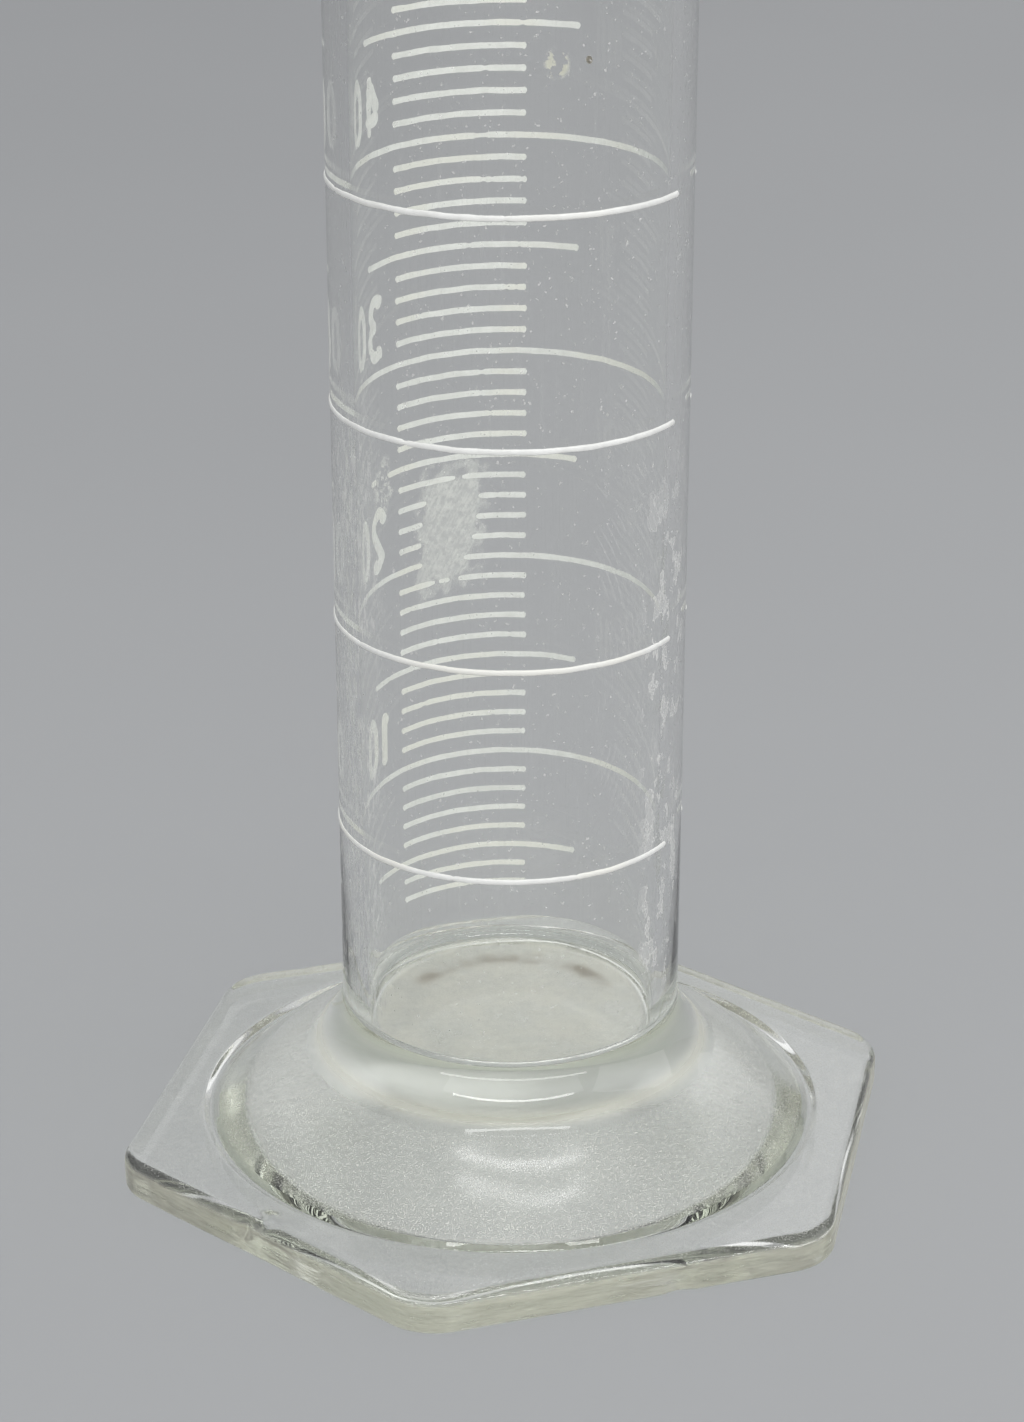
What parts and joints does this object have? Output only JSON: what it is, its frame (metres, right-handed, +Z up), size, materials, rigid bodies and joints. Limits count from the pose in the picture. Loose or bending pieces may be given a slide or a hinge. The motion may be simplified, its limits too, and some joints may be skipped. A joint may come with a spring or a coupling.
{
  "type": "graduated cylinder",
  "caption": "Tall clear glass measuring cylinder with a beaded rim and pouring spout, white enamel millilitre scale and a pressed hexagonal glass foot.",
  "frame": {"origin": "middle of the foot's underside, on the table", "axes": "+Z up along the tube; -Y is the side the scale is read from, over one flat of the hexagon; -X is the side of the pouring spout"},
  "size_m": [0.0716, 0.0636, 0.2453],
  "materials": {
    "clear_glass": "clear glass: the drawn tube fire polished and lightly scuffed, the pressed foot finely pitted and faintly green where it is thick",
    "scale_enamel": "white fired enamel, satin, slightly raised"
  },
  "bodies": {
    "root": {"glass_tube": "clear_glass", "glass_foot": "clear_glass", "ten_ml_rings": "scale_enamel", "five_ml_marks": "scale_enamel", "one_ml_marks": "scale_enamel"}
  },
  "joints": []
}
